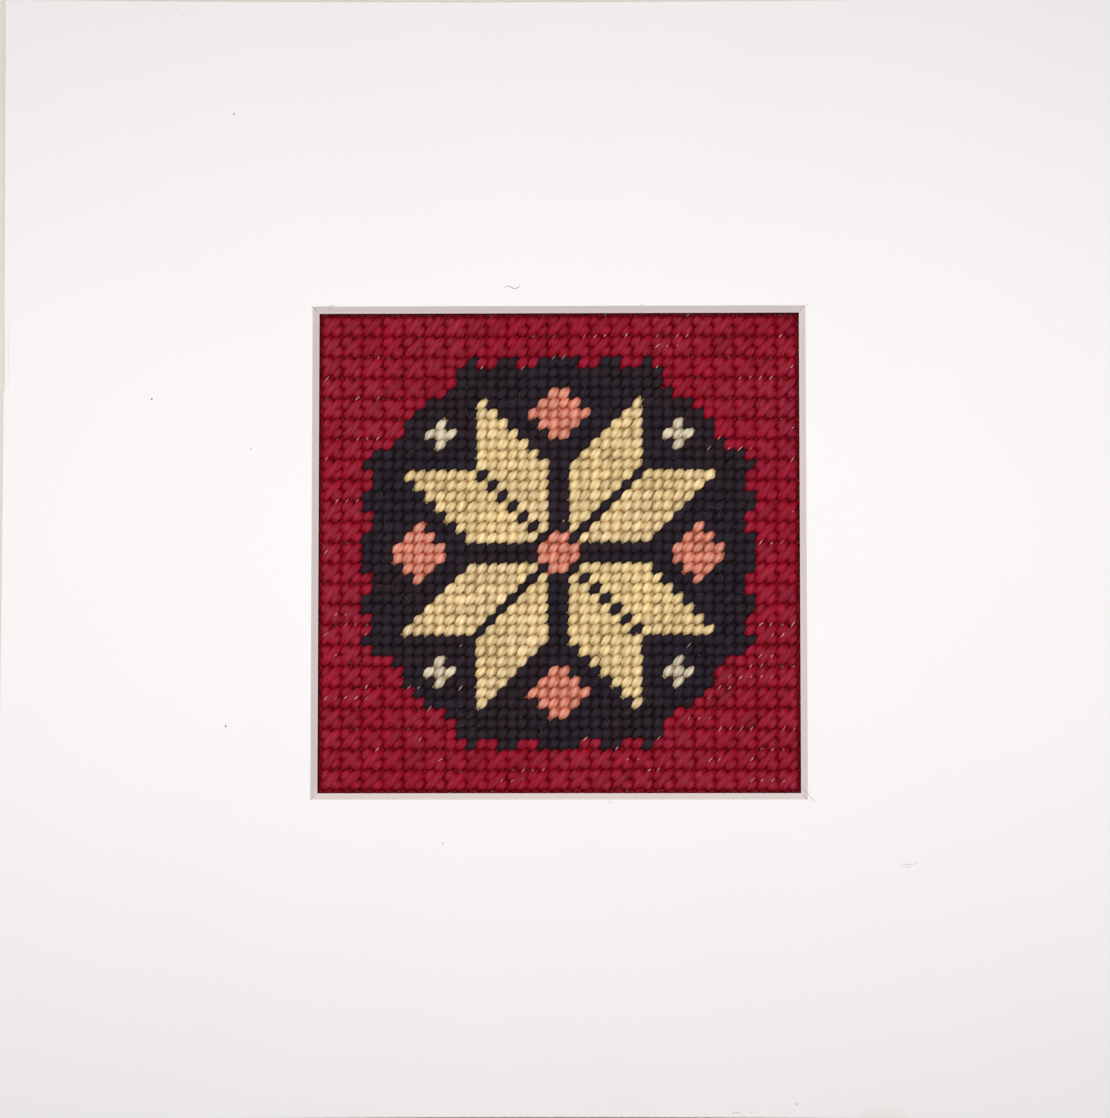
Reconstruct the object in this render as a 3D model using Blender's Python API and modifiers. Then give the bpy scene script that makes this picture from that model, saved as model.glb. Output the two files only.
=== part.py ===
"""A needlepoint canvas panel in a window mat, lying flat on its back.

The middle of a square of mono canvas is worked all over in wool, which stands
proud of the bare canvas on both sides. A square board with a bevel-cut window
lies over it, so that the board bears on the edge of the worked field and hides
the bare margin of the canvas.

Lengths are in metres and +Z is up. The origin is on the surface that the panel
rests on, under the middle of the window.
"""

import math

import bpy

INCH = 0.0254

# The needlepoint canvas
THREAD_PITCH = 0.00189  # from one canvas thread to the next, about 13.4 to the inch
STITCHES_ACROSS = 50  # the worked field is square
CANVAS_SIDE = 6 * INCH
CANVAS_THICKNESS = 0.0010  # two crossing threads
WOOL_THICKNESS = 0.0024  # the worked field, from its back to its face
WOOL_ROUNDING = 0.0005  # the field's edge, where the last stitches turn over
CANVAS_CORNER_RADIUS = 0.0010  # a square-cut corner with its end threads worn round

# The window mat
MAT_SIDE = 8 * INCH
MAT_THICKNESS = 0.0013
WINDOW_SIDE = 3.5 * INCH  # measured half-way up the bevel
BEVEL_RUN = 0.00115  # how far the bevel leans outwards from the board's back to its face
SEAT_GAP = 0.0003  # between the wool and the board that bears on it

CORNER_STEPS = 4  # flats in a rounded edge

WOOL_FIELD_SIDE = STITCHES_ACROSS * THREAD_PITCH
CANVAS_MIDDLE_Z = WOOL_THICKNESS / 2
MAT_BACK_Z = WOOL_THICKNESS + SEAT_GAP

# Red, Green, Blue and Alpha, all linear
MADDER_RED = (0.235, 0.010, 0.024, 1.0)
BOARD_WHITE = (0.90, 0.875, 0.865, 1.0)


def new_collection(name):
    """Return a new collection that is linked to the scene."""
    collection = bpy.data.collections.new(name)
    bpy.context.scene.collection.children.link(collection)
    return collection


def new_material(name, colour, roughness):
    """Return a non-metallic Principled material."""
    material = bpy.data.materials.new(name)
    material.use_nodes = True
    material.diffuse_color = colour
    shader = material.node_tree.nodes["Principled BSDF"]
    shader.inputs["Base Color"].default_value = colour
    shader.inputs["Roughness"].default_value = roughness
    shader.inputs["Metallic"].default_value = 0.0
    return material


def move_to(obj, collection):
    """Put an object in one collection only."""
    for holder in list(obj.users_collection):
        holder.objects.unlink(obj)
    collection.objects.link(obj)


def square_slab(name, side, thickness, middle_z, collection):
    """Return a flat square slab, centred on the Z axis, with its scale applied."""
    bpy.ops.mesh.primitive_cube_add(size=1.0, location=(0.0, 0.0, middle_z))
    slab = bpy.context.object
    slab.name = name
    slab.scale = (side, side, thickness)
    bpy.ops.object.transform_apply(location=False, rotation=False, scale=True)
    move_to(slab, collection)
    return slab


def round_edges(slab, radius):
    """Round every edge of a slab."""
    bevel = slab.modifiers.new("Rounded edges", "BEVEL")
    bevel.width = radius
    bevel.segments = CORNER_STEPS
    bevel.limit_method = "ANGLE"


def round_upright_corners(slab, radius):
    """Round only the four upright corners of a slab."""
    weights = slab.data.attributes.new("bevel_weight_edge", "FLOAT", "EDGE")
    for edge in slab.data.edges:
        start, end = (slab.data.vertices[i].co for i in edge.vertices)
        is_upright = (start.xy - end.xy).length < radius
        weights.data[edge.index].value = float(is_upright)
    bevel = slab.modifiers.new("Rounded corners", "BEVEL")
    bevel.width = radius
    bevel.segments = CORNER_STEPS
    bevel.limit_method = "WEIGHT"


def boolean(target, tool, operation):
    """Add or cut one object with another."""
    modifier = target.modifiers.new(tool.name, "BOOLEAN")
    modifier.operation = operation
    modifier.object = tool
    modifier.solver = "EXACT"
    tool.hide_render = True
    tool.display_type = "WIRE"


def make_needlepoint_canvas(parts, tools):
    """The canvas, thin at its bare margin and thick where it is worked in wool."""
    canvas = square_slab("needlepoint_canvas", CANVAS_SIDE, CANVAS_THICKNESS, CANVAS_MIDDLE_Z, parts)
    round_upright_corners(canvas, CANVAS_CORNER_RADIUS)
    field = square_slab("worked_field", WOOL_FIELD_SIDE, WOOL_THICKNESS, CANVAS_MIDDLE_Z, tools)
    round_edges(field, WOOL_ROUNDING)
    boolean(canvas, field, "UNION")
    canvas.data.materials.append(new_material("Tapestry wool", MADDER_RED, 0.9))
    return canvas


def make_window_mat(parts, tools):
    """The board, with a window whose sides lean outwards towards the face."""
    middle_z = MAT_BACK_Z + MAT_THICKNESS / 2
    mat = square_slab("window_mat", MAT_SIDE, MAT_THICKNESS, middle_z, parts)
    # The window is cut with a four-sided cone that runs past both faces of the board.
    lean = BEVEL_RUN / MAT_THICKNESS
    cutter_height = 3 * MAT_THICKNESS
    small_side = WINDOW_SIDE - lean * cutter_height
    large_side = WINDOW_SIDE + lean * cutter_height
    bpy.ops.mesh.primitive_cone_add(
        vertices=4,
        radius1=small_side / math.sqrt(2),
        radius2=large_side / math.sqrt(2),
        depth=cutter_height,
        location=(0.0, 0.0, middle_z),
        rotation=(0.0, 0.0, math.radians(45)),
    )
    cutter = bpy.context.object
    cutter.name = "window_cutter"
    move_to(cutter, tools)
    boolean(mat, cutter, "DIFFERENCE")
    mat.data.materials.append(new_material("White board", BOARD_WHITE, 0.85))
    return mat


def main():
    for obj in list(bpy.data.objects):
        bpy.data.objects.remove(obj, do_unlink=True)
    parts = new_collection("Needlepoint panel")
    tools = new_collection("Cutters and blanks")
    make_needlepoint_canvas(parts, tools)
    make_window_mat(parts, tools)


main()
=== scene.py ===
"""A needlepoint panel in its window mat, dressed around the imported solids.

The canvas is woven thread by thread and worked stitch by stitch: a star medallion
in tent stitch on a ground of mosaic stitch. The mat has its paper faces, its pale
core and the small marks of handling.

Lengths are in metres. X runs across the picture, Y up it and Z out of its face.
"""

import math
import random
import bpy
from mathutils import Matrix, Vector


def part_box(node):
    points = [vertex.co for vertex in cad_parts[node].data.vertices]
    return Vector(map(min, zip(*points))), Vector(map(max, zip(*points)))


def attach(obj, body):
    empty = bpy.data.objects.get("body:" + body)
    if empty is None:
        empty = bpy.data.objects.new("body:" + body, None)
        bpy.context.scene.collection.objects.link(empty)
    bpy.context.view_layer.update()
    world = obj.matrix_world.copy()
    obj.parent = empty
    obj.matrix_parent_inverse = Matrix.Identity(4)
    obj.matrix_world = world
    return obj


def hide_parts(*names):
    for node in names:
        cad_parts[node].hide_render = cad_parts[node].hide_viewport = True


bl_info = {
    "name": "Needlepoint Panel",
    "version": (1, 0, 0),
    "blender": (4, 5, 0),
    "location": "View3D > Sidebar > Needlepoint",
    "description": "Works a wool medallion on mono canvas and lays a window mat over it",
    "category": "Add Mesh",
}

from collections import namedtuple

import bmesh
import bpy
import numpy as np
from bpy.props import FloatProperty, FloatVectorProperty, IntProperty, PointerProperty
from mathutils import Matrix, Vector

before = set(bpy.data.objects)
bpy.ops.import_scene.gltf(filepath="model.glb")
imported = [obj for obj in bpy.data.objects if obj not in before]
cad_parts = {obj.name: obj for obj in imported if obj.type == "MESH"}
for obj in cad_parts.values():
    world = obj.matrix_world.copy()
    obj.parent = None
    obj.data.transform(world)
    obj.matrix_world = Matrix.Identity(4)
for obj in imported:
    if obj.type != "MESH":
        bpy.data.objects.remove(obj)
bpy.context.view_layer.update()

MM = 0.001
INCH = 0.0254
CANVAS_LOW, CANVAS_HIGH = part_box("needlepoint_canvas")
MAT_LOW, MAT_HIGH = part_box("window_mat")
CANVAS_SIDE = CANVAS_HIGH.x - CANVAS_LOW.x
CANVAS_Z = (CANVAS_LOW.z + CANVAS_HIGH.z) / 2  # the middle plane of the canvas
MAT_SIDE = MAT_HIGH.x - MAT_LOW.x

# The wools of the chart
RED = "red"
DARK = "dark"
CREAM = "cream"
GREY_CREAM = "grey_cream"
SALMON = "salmon"

# The material and the slot of each wool
FINISHES = {
    RED: ("Red wool", "red_wool"),
    DARK: ("Dark wool", "dark_wool"),
    CREAM: ("Cream wool", "cream_wool"),
    GREY_CREAM: ("Grey cream wool", "cream_wool"),
    SALMON: ("Salmon wool", "salmon_wool"),
}

FULL_DEPTH = 0.48 * MM  # below a strand's crown, where its colour is all painted shade
TONE_CONTRAST = 0.08  # how much lighter or darker one step of a strand's tone is
PAINTED_SHADE_STEPS = 9.5  # the steps of tone that the painted shade takes away in the deepest crease
YARN_TWIST = -0.62 / MM  # radians for each metre, so that the plies climb steeper than the stitch

BAKE_MAP = "OFBake"  # a flat map: the left half for what faces up, the right half for the rest


# ---------------------------------------------------------------------------
# Settings
# ---------------------------------------------------------------------------


def length_setting(name, description, default):
    """Return a length that the sidebar shows in the scene's unit."""
    return FloatProperty(
        name=name, description=description, default=default, min=0.0, unit="LENGTH", precision=5
    )


def colour_setting(name, description, default):
    """Return a linear colour that the sidebar shows with a colour wheel."""
    return FloatVectorProperty(
        name=name, description=description, default=default, size=3, min=0.0, max=1.0, subtype="COLOR"
    )


class CanvasSettings(bpy.types.PropertyGroup):
    """Sizes and colour of the mono canvas."""

    pitch: length_setting("Thread pitch", "From one canvas thread to the next", 1.89 * MM)
    stitches: IntProperty(
        name="Stitches across", description="Side of the worked field, in stitches", default=50, min=2
    )
    thread_width: length_setting("Thread width", "Width of a canvas thread", 0.64 * MM)
    thread_colour: colour_setting("Thread", "Colour of the sized cotton", (0.80, 0.77, 0.71))


class WoolSettings(bpy.types.PropertyGroup):
    """Sizes and colours of the stitches."""

    tent_width: length_setting("Tent width", "Width of a tent stitch at its middle", 1.60 * MM)
    foot_width: length_setting("Foot width", "Width of the yarn where it enters a hole", 0.62 * MM)
    tent_rise: length_setting("Tent rise", "Middle of a tent stitch above the canvas", 0.62 * MM)
    long_rise: length_setting("Long rise", "Middle of a long mosaic stitch above the canvas", 0.68 * MM)
    yarn_height: length_setting("Yarn height", "Height of the yarn at the top of its stitch", 1.20 * MM)
    plies: IntProperty(name="Plies", description="Strands twisted into the yarn", default=4, min=2)
    red: colour_setting("Red", "The ground", (0.286, 0.0078, 0.0310))
    dark: colour_setting("Dark", "The medallion", (0.0213, 0.0125, 0.0180))
    cream: colour_setting("Cream", "The star", (0.873, 0.682, 0.393))
    grey_cream: colour_setting("Grey cream", "The small crosses", (0.72, 0.62, 0.47))
    salmon: colour_setting("Salmon", "The heart of the star and the diamonds", (0.735, 0.325, 0.232))


class MatSettings(bpy.types.PropertyGroup):
    """Sizes and colours of the window mat."""

    window: length_setting("Window", "Side of the window, half-way up its bevel", 3.5 * INCH)
    bevel_run: length_setting("Bevel run", "How far the bevel leans outwards", 1.15 * MM)
    face: colour_setting("Face paper", "Colour of the smooth face paper", (0.90, 0.875, 0.868))
    core: colour_setting("Core", "Colour of the cut board", (0.81, 0.72, 0.705))


class StageSettings(bpy.types.PropertyGroup):
    """The table top and the camera."""

    floor: colour_setting("Floor", "Colour of the table top", (0.828, 0.782, 0.729))
    distance: length_setting("Distance", "From the camera to the face of the mat", 0.7464)
    tilt: FloatProperty(
        name="Tilt",
        description="How far the camera leans towards the near edge",
        default=math.radians(4.635),
        subtype="ANGLE",
    )
    turn: FloatProperty(
        name="Turn",
        description="How far the camera leans towards the right edge",
        default=math.radians(1.145),
        subtype="ANGLE",
    )
    lens: FloatProperty(name="Lens", description="Focal length in millimetres", default=132.17)


# ---------------------------------------------------------------------------
# Shader groups and materials
# ---------------------------------------------------------------------------


def shader_group(name, inputs, outputs):
    """Return a new node group with its sockets, its input node and its output node."""
    group = bpy.data.node_groups.new(name, "ShaderNodeTree")
    for socket_name, kind, default in inputs:
        socket = group.interface.new_socket(name=socket_name, in_out="INPUT", socket_type=kind)
        socket.default_value = default
    for socket_name, kind in outputs:
        group.interface.new_socket(name=socket_name, in_out="OUTPUT", socket_type=kind)
    return group, group.nodes.new("NodeGroupInput"), group.nodes.new("NodeGroupOutput")


def noise(tree, vector, scale, detail=2.0):
    """Return the value of a noise texture."""
    texture = tree.nodes.new("ShaderNodeTexNoise")
    texture.inputs["Scale"].default_value = scale
    texture.inputs["Detail"].default_value = detail
    tree.links.new(vector, texture.inputs["Vector"])
    return texture.outputs["Fac"]


def maths(tree, operation, *values, clamp=False):
    """Return the result of a Math node. A value is a number or a socket."""
    node = tree.nodes.new("ShaderNodeMath")
    node.operation = operation
    node.use_clamp = clamp
    for socket, value in zip(node.inputs, values):
        if isinstance(value, (int, float)):
            socket.default_value = value
        else:
            tree.links.new(value, socket)
    return node.outputs["Value"]


def remap(tree, value, low, high, new_low, new_high):
    """Return a value moved from one range to another and kept in it."""
    node = tree.nodes.new("ShaderNodeMapRange")
    for name, number in (("From Min", low), ("From Max", high), ("To Min", new_low), ("To Max", new_high)):
        node.inputs[name].default_value = number
    tree.links.new(value, node.inputs["Value"])
    return node.outputs["Result"]


def mix_colours(tree, factor, first, second, blend="MIX"):
    """Return two colours mixed. A colour is a tuple or a socket."""
    node = tree.nodes.new("ShaderNodeMix")
    node.data_type = "RGBA"
    node.blend_type = blend
    # The node has sockets for every kind of data: inputs 6 and 7 and output 2 are its colours.
    for socket, value in ((node.inputs[0], factor), (node.inputs[6], first), (node.inputs[7], second)):
        if isinstance(value, (int, float)):
            socket.default_value = value
        elif isinstance(value, tuple):
            socket.default_value = (*value[:3], 1.0)
        else:
            tree.links.new(value, socket)
    return node.outputs[2]


def stretched(tree, vector, scale):
    """Return a vector scaled by an amount for each axis."""
    node = tree.nodes.new("ShaderNodeMapping")
    node.inputs["Scale"].default_value = scale
    tree.links.new(vector, node.inputs["Vector"])
    return node.outputs["Vector"]


def attribute(tree, name, output="Fac"):
    """Return a value that the mesh stores at its points."""
    node = tree.nodes.new("ShaderNodeAttribute")
    node.attribute_name = name
    return node.outputs[output]


def scaled_colour(tree, colour, gain):
    """Return a colour made lighter or darker by a gain. Both are sockets."""
    node = tree.nodes.new("ShaderNodeVectorMath")
    node.operation = "SCALE"
    tree.links.new(colour, node.inputs[0])
    tree.links.new(gain, node.inputs["Scale"])
    return node.outputs["Vector"]


# What every surface group puts out
SURFACE = [("Colour", "NodeSocketColor"), ("Roughness", "NodeSocketFloat"), ("Height", "NodeSocketFloat")]


def spun_fibre_group():
    """Colour, roughness and relief of fibres that run along a strand and turn with its twist, with shade
    painted into the colour low down.
    """
    group, inlet, outlet = shader_group(
        "Spun fibre",
        [
            ("Colour", "NodeSocketColor", (0.5, 0.5, 0.5, 1.0)),
            ("Second Colour", "NodeSocketColor", (0.5, 0.5, 0.5, 1.0)),
            ("Painted Shade Colour", "NodeSocketColor", (0.3, 0.3, 0.3, 1.0)),
            ("Fibre Contrast", "NodeSocketFloat", 0.3),
            ("Tone Contrast", "NodeSocketFloat", 0.15),
            ("Groove Shade", "NodeSocketFloat", 0.3),
        ],
        SURFACE,
    )
    # The grain in a metre of yarn, twice across it and once along it
    single_fibres = (9000.0, 9000.0, 700.0)
    slubs = (2500.0, 2500.0, 300.0)
    yarn = attribute(group, "yarn_coords", "Vector")
    fine = noise(group, stretched(group, yarn, single_fibres), 1.0, 3.0)
    broad = noise(group, stretched(group, yarn, slubs), 1.0, 2.0)
    place = group.nodes.new("ShaderNodeTexCoord").outputs["Object"]
    lots_in_a_metre = 55.0
    dye_lot = remap(group, noise(group, place, lots_in_a_metre), 0.42, 0.58, 0.0, 1.0)
    base = mix_colours(group, dye_lot, inlet.outputs["Colour"], inlet.outputs["Second Colour"])
    # Painted shade: low down and between the plies the colour is mixed towards a deeper one, for light that
    # has met the dye more than once.
    groove = maths(group, "MULTIPLY", attribute(group, "groove"), inlet.outputs["Groove Shade"])
    painted_shade_share = maths(group, "ADD", attribute(group, "depth"), groove, clamp=True)
    shaded = mix_colours(group, painted_shade_share, base, inlet.outputs["Painted Shade Colour"])
    # Streaks and tone each move the colour up or down from its own value. The stored tone also carries
    # painted shade in creases.
    streak = maths(group, "MULTIPLY", maths(group, "SUBTRACT", fine, 0.5), inlet.outputs["Fibre Contrast"])
    patch = maths(group, "MULTIPLY", maths(group, "SUBTRACT", broad, 0.5), inlet.outputs["Fibre Contrast"])
    tone = maths(group, "MULTIPLY", attribute(group, "tone"), inlet.outputs["Tone Contrast"])
    light = maths(group, "ADD", maths(group, "ADD", streak, patch), tone)
    gain = maths(group, "MAXIMUM", maths(group, "ADD", light, 1.0), 0.05)
    group.links.new(scaled_colour(group, shaded, gain), outlet.inputs["Colour"])
    group.links.new(remap(group, broad, 0.3, 0.7, 0.52, 0.70), outlet.inputs["Roughness"])
    relief = maths(group, "ADD", fine, maths(group, "MULTIPLY", broad, 0.8))
    group.links.new(relief, outlet.inputs["Height"])
    return group


def board_group():
    """Colour, roughness and relief of pressed paper, soiled in faint patches and where it is worn."""
    group, inlet, outlet = shader_group(
        "Pressed board",
        [
            ("Colour", "NodeSocketColor", (0.9, 0.9, 0.9, 1.0)),
            ("Soil Colour", "NodeSocketColor", (0.8, 0.75, 0.7, 1.0)),
            ("Tooth Scale", "NodeSocketFloat", 4000.0),
            ("Soil", "NodeSocketFloat", 0.1),
        ],
        SURFACE,
    )
    place = group.nodes.new("ShaderNodeTexCoord").outputs["Object"]
    tooth = group.nodes.new("ShaderNodeTexNoise")
    tooth.inputs["Detail"].default_value = 3.0
    group.links.new(place, tooth.inputs["Vector"])
    group.links.new(inlet.outputs["Tooth Scale"], tooth.inputs["Scale"])
    clouds_in_a_metre = 38.0
    cloud = noise(group, place, clouds_in_a_metre, 3.0)
    soil = maths(group, "MULTIPLY", remap(group, cloud, 0.45, 0.75, 0.0, 1.0), inlet.outputs["Soil"])
    worn = maths(group, "MAXIMUM", soil, attribute(group, "wear"))
    colour = mix_colours(group, worn, inlet.outputs["Colour"], inlet.outputs["Soil Colour"])
    speckle = remap(group, tooth.outputs["Fac"], 0.3, 0.7, 0.975, 1.0)
    group.links.new(scaled_colour(group, colour, speckle), outlet.inputs["Colour"])
    group.links.new(remap(group, cloud, 0.3, 0.7, 0.72, 0.86), outlet.inputs["Roughness"])
    group.links.new(tooth.outputs["Fac"], outlet.inputs["Height"])
    return group


def renewed_material(name):
    """Return a new material, which any piece with an earlier one of its name takes on."""
    earlier = bpy.data.materials.get(name)
    material = bpy.data.materials.new(name)
    if earlier:
        earlier.user_remap(material)
        bpy.data.materials.remove(earlier)
        material.name = name
    return material


def finish_material(name, group, values, shader_values, bump_strength, bump_distance):
    """Return a material that dresses a Principled shader with one placed group."""
    material = renewed_material(name)
    material.use_nodes = True
    tree = material.node_tree
    shader = tree.nodes["Principled BSDF"]
    for socket, value in shader_values.items():
        shader.inputs[socket].default_value = value
    placed = tree.nodes.new("ShaderNodeGroup")
    placed.node_tree = group
    for socket, value in values.items():
        placed.inputs[socket].default_value = value
    bump = tree.nodes.new("ShaderNodeBump")
    bump.inputs["Strength"].default_value = bump_strength
    bump.inputs["Distance"].default_value = bump_distance
    tree.links.new(placed.outputs["Height"], bump.inputs["Height"])
    tree.links.new(placed.outputs["Colour"], shader.inputs["Base Color"])
    tree.links.new(placed.outputs["Roughness"], shader.inputs["Roughness"])
    tree.links.new(bump.outputs["Normal"], shader.inputs["Normal"])
    material.diffuse_color = values["Colour"]
    return material


def opaque(colour, gain=1.0):
    """Return a colour with its alpha, made lighter or darker."""
    return (*(channel * gain for channel in colour), 1.0)


def shared_group(name, maker):
    """Return a node group, made the first time that it is asked for."""
    return bpy.data.node_groups.get(name) or maker()


def painted_depth_shade(colour, strength, gain):
    """Return the painted shade for a dyed fibre's depths, where light has met it again and again: deeper,
    in the same hue.
    """
    brightest = max(colour)
    return tuple(gain * brightest * (channel / brightest) ** strength for channel in colour)


def wool_material(name, colour, second_colour, shine, fibre, deep, gain, haze):
    """Return tapestry wool, by its shine, its streaks, the shade painted into its depths and its haze of
    fuzz.
    """
    values = {
        "Colour": opaque(colour),
        "Second Colour": opaque(second_colour),
        "Painted Shade Colour": opaque(painted_depth_shade(colour, deep, gain)),
        "Fibre Contrast": fibre,
        "Tone Contrast": TONE_CONTRAST,
        "Groove Shade": 0.5,
    }
    group = shared_group("Spun fibre", spun_fibre_group)
    shader_values = {
        "Specular IOR Level": shine,
        "Sheen Weight": haze,
        "Sheen Roughness": 0.6,
        "Sheen Tint": opaque(tuple(channel ** 0.6 for channel in colour)),
    }
    return finish_material(name, group, values, shader_values, bump_strength=0.55, bump_distance=0.12 * MM)


def cotton_material(name, colour):
    """Return sized cotton thread, smoother than the wool."""
    values = {
        "Colour": opaque(colour),
        "Second Colour": opaque(colour, 0.96),
        # Painted shade: the thread is darker low down.
        "Painted Shade Colour": opaque(colour, 0.8),
        "Fibre Contrast": 0.3,
        "Tone Contrast": TONE_CONTRAST,
        "Groove Shade": 0.0,
    }
    group = shared_group("Spun fibre", spun_fibre_group)
    shader_values = {"Specular IOR Level": 0.3}
    return finish_material(name, group, values, shader_values, bump_strength=0.4, bump_distance=0.05 * MM)


def board_material(name, colour, soil_colour, tooth, soil, bump):
    """Return pressed board or paper, by the scale of its tooth, how soiled it is and its relief."""
    values = {
        "Colour": opaque(colour),
        "Soil Colour": opaque(soil_colour),
        "Tooth Scale": tooth,
        "Soil": soil,
    }
    group = shared_group("Pressed board", board_group)
    shader_values = {"Specular IOR Level": 0.25}
    return finish_material(name, group, values, shader_values, bump_strength=bump, bump_distance=0.04 * MM)


# ---------------------------------------------------------------------------
# Meshes
# ---------------------------------------------------------------------------


def add_piece(name, mesh, materials, node):
    """Put a finished mesh in the scene as a piece that rides on the panel and stands for a solid."""
    piece = bpy.data.objects.new(name, mesh)
    bpy.context.scene.collection.objects.link(piece)
    for material in materials:
        mesh.materials.append(material)
    mesh.shade_smooth()
    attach(piece, "root")
    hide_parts(node)
    return piece


def add_wool(name, mesh, wool):
    """Put a mesh of one wool in the scene as a piece of the worked canvas."""
    material, slot = FINISHES[wool]
    add_piece(name, mesh, [bpy.data.materials[material]], "needlepoint_canvas")


def store_at_points(mesh, name, kind, values):
    """Store a value or a vector for each point of a mesh."""
    layer = mesh.attributes.new(name, kind, "POINT")
    key = "vector" if kind == "FLOAT_VECTOR" else "value"
    layer.data.foreach_set(key, np.ascontiguousarray(values, np.float32).ravel())


def points_of(mesh):
    """Return the points of a mesh, one in a row."""
    points = np.empty(len(mesh.vertices) * 3, np.float32)
    mesh.vertices.foreach_get("co", points)
    return points.reshape(-1, 3)


def flat_bake_map(mesh, side):
    """Map a flat piece as seen from above, with the faces that look down in a half of their own."""
    margin = 0.002
    corners = np.empty(len(mesh.loops), np.int32)
    mesh.loops.foreach_get("vertex_index", corners)
    normals = np.empty(len(mesh.polygons) * 3, np.float32)
    mesh.polygons.foreach_get("normal", normals)
    sizes = np.empty(len(mesh.polygons), np.int32)
    mesh.polygons.foreach_get("loop_total", sizes)
    looks_down = np.repeat(normals.reshape(-1, 3)[:, 2] < 0.0, sizes)
    place = np.clip(points_of(mesh)[corners, :2] / side + 0.5, margin, 1.0 - margin)
    place[:, 0] = place[:, 0] / 2 + np.where(looks_down, 0.5, 0.0)
    layer = mesh.uv_layers.new(name=BAKE_MAP)
    layer.uv.foreach_set("vector", np.ascontiguousarray(place, np.float32).ravel())


def unit(vectors):
    """Return vectors with a length of one. Each lies along the last axis."""
    return vectors / np.maximum(np.linalg.norm(vectors, axis=-1, keepdims=True), 1e-12)


def level_left(ahead):
    """Return the level direction to the left of each heading."""
    return np.stack([-ahead[..., 1], ahead[..., 0], np.zeros(ahead.shape[:-1])], -1)


def tube_faces(strands, rings, sides):
    """Return the faces of many capped tubes whose points follow each other ring by ring."""
    ring = np.arange(rings - 1)[:, None] * sides
    point = np.arange(sides)[None, :]
    after = (point + 1) % sides
    quads = np.stack([ring + point, ring + after, ring + sides + after, ring + sides + point], 2)
    quads = quads.reshape(-1, 4)
    first_cap = np.arange(sides)[::-1]
    last_cap = np.arange(sides) + (rings - 1) * sides
    faces = []
    for base in range(0, strands * rings * sides, rings * sides):
        faces.extend((quads + base).tolist())
        faces.append((first_cap + base).tolist())
        faces.append((last_cap + base).tolist())
    return faces


def tube_mesh(name, centres, left, widths, heights, angles, lobes, side, tones=None):
    """Join many tubes into one mesh, with what the spun fibre group reads stored at its points.

    centres has a point for each ring of each strand, left the level direction across each
    strand or ring, widths and heights the half sizes of each ring, angles the turn of each
    ring's first point, and lobes the share of the radius that each point round a ring has.
    side is the size of the flat bake map, and tones lighten or darken whole strands.
    """
    strands, rings, _ = centres.shape
    sides = len(lobes)
    points = tube_points(centres, left, widths, heights, angles, lobes)
    mesh = bpy.data.meshes.new(name)
    mesh.from_pydata(points.reshape(-1, 3).tolist(), [], tube_faces(strands, rings, sides))
    store_at_points(mesh, "yarn_coords", "FLOAT_VECTOR", yarn_coords(centres, widths, lobes))
    tones = np.zeros(strands) if tones is None else tones
    store_at_points(mesh, "tone", "FLOAT", np.repeat(tones, rings * sides))
    groove = (lobes.max() - lobes) / max(lobes.max() - lobes.min(), 1e-9)
    store_at_points(mesh, "groove", "FLOAT", np.tile(groove, strands * rings))
    # The depth sets how much shade the spun fibre group paints into the colour.
    store_at_points(mesh, "depth", "FLOAT", depth_below_crown(points))
    flat_bake_map(mesh, side)
    return mesh


def angles_round(lobes):
    """Return the angle of each point round a ring."""
    sides = len(lobes)
    return np.arange(sides) * 2 * math.pi / sides


def tube_points(centres, left, widths, heights, angles, lobes):
    """Return the points of many tubes, by strand, ring and side."""
    if left.ndim == 2:
        left = np.repeat(left[:, None, :], centres.shape[1], axis=1)
    upward = unit(np.cross(unit(np.gradient(centres, axis=1)), left))
    turned = angles[:, :, None] + angles_round(lobes)
    # Neighbours press the sides full, so the grooves between plies show mostly on top.
    facing_up = np.abs(np.sin(turned))
    groove = 1.0 - (1.0 - lobes) * facing_up
    reach_across = widths[:, :, None] * groove * np.cos(turned)
    reach_up = heights[:, :, None] * groove * np.sin(turned)
    return (
        centres[:, :, None, :]
        + left[:, :, None, :] * reach_across[..., None]
        + upward[:, :, None, :] * reach_up[..., None]
    )


def yarn_coords(centres, widths, lobes):
    """Return the fibres' own coordinates: two round the untwisted yarn, and one along it."""
    strands, rings, _ = centres.shape
    steps = np.linalg.norm(np.diff(centres, axis=1), axis=2)
    along = np.concatenate([np.zeros((strands, 1)), np.cumsum(steps, axis=1)], axis=1)
    spacing = 7.3 * MM  # so that no strand repeats the grain of the one before
    along += np.arange(strands)[:, None] * spacing
    yarn = np.empty((strands, rings, len(lobes), 3))
    yarn[..., 0] = widths[:, :, None] * lobes * np.cos(angles_round(lobes))
    yarn[..., 1] = widths[:, :, None] * lobes * np.sin(angles_round(lobes))
    yarn[..., 2] = along[:, :, None]
    return yarn


def depth_below_crown(points):
    """Return how deep each point lies, from 0 to 1, on the front and on the back alike.

    It is most where a strand goes down into its holes, and half as much for what the strand
    falls away at its sides.
    """
    above = np.abs(points[..., 2] - CANVAS_Z)
    ring_top = above.max(axis=2, keepdims=True)
    crown = ring_top.max(axis=1, keepdims=True)
    drop = (crown - ring_top) + 0.5 * (ring_top - above)
    return np.clip(drop / FULL_DEPTH, 0.0, 1.0)


def fibre_mesh(name, lines, radius, side, sides=3):
    """Return thin hairs that follow lines of points and taper to both ends.

    lines has a point for each ring of each hair, and radius a half width for each hair.
    """
    lines = np.asarray(lines)
    left = unit(level_left(np.gradient(lines, axis=1)))
    share = np.linspace(0.0, math.pi, lines.shape[1])
    taper = 0.35 + 0.65 * np.sin(share)
    widths = np.asarray(radius)[:, None] * taper
    return tube_mesh(name, lines, left, widths, widths, np.zeros(widths.shape), np.ones(sides), side)


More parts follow.
